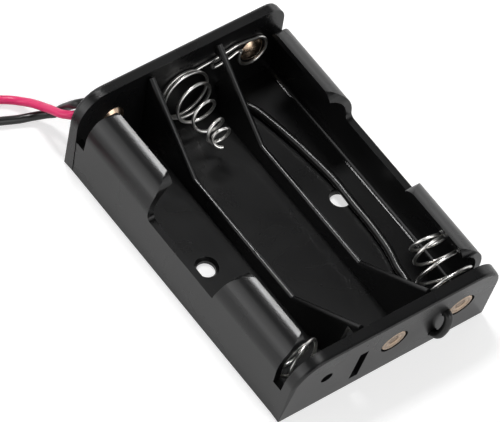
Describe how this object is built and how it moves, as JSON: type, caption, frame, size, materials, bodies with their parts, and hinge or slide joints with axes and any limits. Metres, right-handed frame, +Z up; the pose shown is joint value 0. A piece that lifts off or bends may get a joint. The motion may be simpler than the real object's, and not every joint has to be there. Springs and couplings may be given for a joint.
{
  "type": "battery holder for three AAA cells",
  "caption": "Open moulded tray that holds cylindrical cells side by side between wire springs and rivets, with two soldered leads.",
  "frame": {"origin": "middle of the tray's flat underside", "axes": "+X along the cells towards the near end plate, +Y across the cells, +Z up out of the tray"},
  "size_m": [0.0715, 0.0661, 0.0138],
  "materials": {
    "black_plastic": "satin moulded polypropylene",
    "spring_wire": "bright nickel plate",
    "rivet_metal": "nickel-washed copper, rolled",
    "black_insulation": "soft PVC",
    "red_insulation": "soft PVC",
    "tinned_copper": "tinned strands"
  },
  "bodies": {
    "root": {"tray": "black_plastic", "rivet_far_1": "rivet_metal", "rivet_far_3": "rivet_metal", "rivet_near_2": "rivet_metal", "rivet_near_3": "rivet_metal", "spring_cell_1": "spring_wire", "spring_cell_2": "spring_wire", "spring_cell_3": "spring_wire", "black_lead_run": "black_insulation", "black_strands": "tinned_copper", "red_strands": "tinned_copper", "black_lead": "black_insulation", "red_lead": "red_insulation", "lead_coil": "black_insulation", "black_tip": "tinned_copper", "red_tip": "tinned_copper"}
  },
  "joints": []
}
